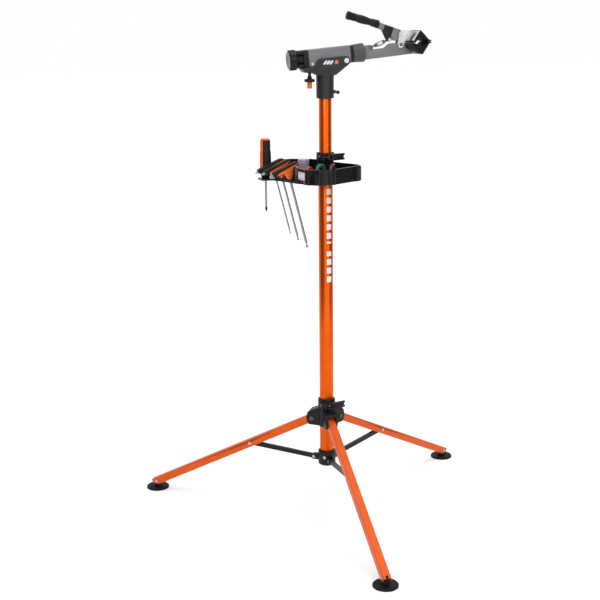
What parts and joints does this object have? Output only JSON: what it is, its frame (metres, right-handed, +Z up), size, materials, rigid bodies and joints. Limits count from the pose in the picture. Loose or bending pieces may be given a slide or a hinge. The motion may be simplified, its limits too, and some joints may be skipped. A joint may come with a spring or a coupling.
{
  "type": "bicycle repair stand",
  "caption": "Folding repair stand with a telescopic column, tripod legs, a tool tray and a tilting arm with a toggle clamp.",
  "frame": {"origin": "on the floor, under the middle of the bounding box", "axes": "+Z up the column, +X the way the clamp arm points, +Y towards the back of the tray"},
  "size_m": [0.987, 0.8636, 1.403],
  "materials": {
    "orange_tube": "anodised, glossy, orange",
    "orange_leg": "satin orange",
    "black_plastic": "fine grained black",
    "grey_metal": "satin grey",
    "bright_metal": "zinc plated",
    "black_rubber": "matt black",
    "grip_rubber": "matt black, fine grained",
    "lock_orange": "orange",
    "tool_mix": "green, purple and red rings and a white tub"
  },
  "bodies": {
    "stand_base": {"outer_tube": "orange_tube", "lower_hub": "black_plastic", "hub_pins": "bright_metal", "mast_collar": "black_plastic", "mast_cam_bolt": "bright_metal", "mast_guide_bush": "black_plastic", "tool_tray": "black_plastic", "small_tools": "tool_mix"},
    "leg_slider": {"leg_slider": "black_plastic", "slider_cam_bolt": "bright_metal", "leg_pivot_bolts": "bright_metal"},
    "slider_lever": {"slider_lever": "black_plastic"},
    "mast_lever": {"mast_lever": "black_plastic"},
    "leg_front": {"leg_front": "orange_leg", "leg_pins_front": "bright_metal"},
    "strut_front": {"strut_front": "grey_metal"},
    "foot_front": {"foot_pad_front": "black_rubber", "foot_block_front": "black_plastic"},
    "leg_right": {"leg_right": "orange_leg", "leg_pins_right": "bright_metal"},
    "strut_right": {"strut_right": "grey_metal"},
    "foot_right": {"foot_pad_right": "black_rubber", "foot_block_right": "black_plastic"},
    "leg_left": {"leg_left": "orange_leg", "leg_pins_left": "bright_metal"},
    "strut_left": {"strut_left": "grey_metal"},
    "foot_left": {"foot_pad_left": "black_rubber", "foot_block_left": "black_plastic"},
    "mast_foot": {"mast_foot_bush": "black_plastic"},
    "mast": {"inner_tube": "orange_tube", "head_bracket": "grey_metal", "head_bolts": "bright_metal", "lock_sleeve": "grey_metal"},
    "lock": {"lock_pin": "bright_metal", "lock_knob": "black_plastic", "lock_tip": "lock_orange"},
    "arm": {"arm_tube": "grey_metal", "arm_rear_cap": "black_plastic", "arm_cross_pin": "bright_metal", "front_bush": "black_plastic"},
    "clamp": {"spindle": "bright_metal", "clamp_collar": "grey_metal", "clamp_arm": "grey_metal", "clamp_pins": "bright_metal", "lower_jaw_holder": "black_plastic", "lower_jaw": "black_rubber"},
    "jaw": {"jaw_plate": "bright_metal", "upper_jaw_holder": "bright_metal", "upper_jaw": "black_rubber"},
    "handle": {"handle_lever": "grey_metal", "handle_grip": "grip_rubber"},
    "link": {"toggle_link": "bright_metal"},
    "adjuster": {"link_adjuster": "bright_metal"},
    "knob": {"tension_knob": "black_plastic", "knob_cap": "bright_metal"},
    "screwdriver": {"screwdriver_grip": "black_plastic", "screwdriver_blade": "bright_metal"},
    "hex_key_front": {"hex_key_front": "black_plastic"},
    "hex_key_middle": {"hex_key_middle": "black_plastic"},
    "hex_key_back": {"hex_key_back": "black_plastic"}
  },
  "joints": [
    {"name": "leg_slide", "type": "slide", "parent": "stand_base", "child": "leg_slider", "axis": [0, 0, 1], "range_m": [0, 0.28546]},
    {"name": "leg_front_fold", "type": "hinge", "parent": "leg_slider", "child": "leg_front", "pos_m": [0, 0.09227, 0.2658], "axis": [1, 0, 0], "range_deg": [0, 57.72]},
    {"name": "strut_front_fold", "type": "hinge", "parent": "leg_front", "child": "strut_front", "pos_m": [0, -0.09823, 0.17131], "axis": [-1, 0, 0], "range_deg": [0, 133.23]},
    {"name": "foot_front_tilt", "type": "hinge", "parent": "leg_front", "child": "foot_front", "pos_m": [0, -0.39863, 0.0223], "axis": [1, 0, 0], "range_deg": [-12, 12]},
    {"name": "leg_right_fold", "type": "hinge", "parent": "leg_slider", "child": "leg_right", "pos_m": [0.03516, 0.15318, 0.2658], "axis": [-0.5, 0.866, 0], "range_deg": [0, 57.72]},
    {"name": "strut_right_fold", "type": "hinge", "parent": "leg_right", "child": "strut_right", "pos_m": [0.20014, 0.24843, 0.17131], "axis": [0.5, -0.866, 0], "range_deg": [0, 133.23]},
    {"name": "foot_right_tilt", "type": "hinge", "parent": "leg_right", "child": "foot_right", "pos_m": [0.46029, 0.39863, 0.0223], "axis": [-0.5, 0.866, 0], "range_deg": [-12, 12]},
    {"name": "leg_left_fold", "type": "hinge", "parent": "leg_slider", "child": "leg_left", "pos_m": [-0.03516, 0.15318, 0.2658], "axis": [-0.5, -0.866, 0], "range_deg": [0, 57.72]},
    {"name": "strut_left_fold", "type": "hinge", "parent": "leg_left", "child": "strut_left", "pos_m": [-0.20014, 0.24843, 0.17131], "axis": [0.5, 0.866, 0], "range_deg": [0, 133.23]},
    {"name": "foot_left_tilt", "type": "hinge", "parent": "leg_left", "child": "foot_left", "pos_m": [-0.46029, 0.39863, 0.0223], "axis": [-0.5, -0.866, 0], "range_deg": [-12, 12]},
    {"name": "slider_lever_turn", "type": "hinge", "parent": "leg_slider", "child": "slider_lever", "pos_m": [0.00012, 0.09777, 0.313], "axis": [0, 0, -1], "range_deg": [0, 110]},
    {"name": "mast_lever_turn", "type": "hinge", "parent": "stand_base", "child": "mast_lever", "pos_m": [0.00012, 0.09777, 1.0195], "axis": [0, 0, -1], "range_deg": [0, 110]},
    {"name": "mast_slide", "type": "slide", "parent": "stand_base", "child": "mast_foot", "axis": [0, 0, 1], "range_m": [-0.14, 0.38]},
    {"name": "mast_turn", "type": "hinge", "parent": "mast_foot", "child": "mast", "pos_m": [0, 0.13287, 0.56], "axis": [0, 0, 1], "continuous": true},
    {"name": "arm_fold", "type": "hinge", "parent": "mast", "child": "arm", "pos_m": [0.05303, 0.13287, 1.27436], "axis": [0, 1, 0], "range_deg": [0, 90]},
    {"name": "lock_pull", "type": "slide", "parent": "mast", "child": "lock", "axis": [0, 0, -1], "range_m": [0, 0.008], "stiffness_N_per_m": 800, "springref_m": -0.004},
    {"name": "clamp_spin", "type": "hinge", "parent": "arm", "child": "clamp", "pos_m": [0.006, 0.13287, 1.2853], "axis": [0.9962, 0, 0.0872], "range_deg": [-135, 135]},
    {"name": "tension_knob_spin", "type": "hinge", "parent": "arm", "child": "knob", "pos_m": [-0.08964, 0.13287, 1.27693], "axis": [0.9962, 0, 0.0872], "continuous": true},
    {"name": "jaw_open", "type": "hinge", "parent": "clamp", "child": "jaw", "pos_m": [0.21083, 0.13287, 1.31346], "axis": [0, -1, 0], "range_deg": [0, 35]},
    {"name": "handle_swing", "type": "hinge", "parent": "jaw", "child": "handle", "pos_m": [0.21626, 0.13287, 1.33853], "axis": [0, 1, 0], "range_deg": [0, 74.5]},
    {"name": "link_swing", "type": "hinge", "parent": "clamp", "child": "link", "pos_m": [0.12663, 0.13287, 1.30629], "axis": [0, -1, 0], "range_deg": [0, 29.2]},
    {"name": "adjuster_spin", "type": "hinge", "parent": "link", "child": "adjuster", "pos_m": [0.15371, 0.13287, 1.31667], "axis": [0.9338, 0, 0.3579], "continuous": true},
    {"name": "screwdriver_lift", "type": "slide", "parent": "stand_base", "child": "screwdriver", "axis": [0, 0, 1], "range_m": [0, 0.23]},
    {"name": "hex_key_front_lift", "type": "slide", "parent": "stand_base", "child": "hex_key_front", "axis": [-0.265, -0.1236, 0.9563], "range_m": [0, 0.2]},
    {"name": "hex_key_middle_lift", "type": "slide", "parent": "stand_base", "child": "hex_key_middle", "axis": [-0.265, -0.1236, 0.9563], "range_m": [0, 0.2]},
    {"name": "hex_key_back_lift", "type": "slide", "parent": "stand_base", "child": "hex_key_back", "axis": [-0.265, -0.1236, 0.9563], "range_m": [0, 0.2]}
  ],
  "couplings": [
    {"joint": "leg_front_fold", "follows": "leg_slide", "rad_per_m": 3.5228},
    {"joint": "strut_front_fold", "follows": "leg_slide", "rad_per_m": 8.1335},
    {"joint": "leg_right_fold", "follows": "leg_slide", "rad_per_m": 3.5228},
    {"joint": "strut_right_fold", "follows": "leg_slide", "rad_per_m": 8.1335},
    {"joint": "leg_left_fold", "follows": "leg_slide", "rad_per_m": 3.5228},
    {"joint": "strut_left_fold", "follows": "leg_slide", "rad_per_m": 8.1335},
    {"joint": "handle_swing", "follows": "jaw_open", "ratio": 2.12},
    {"joint": "link_swing", "follows": "jaw_open", "ratio": 0.826}
  ]
}
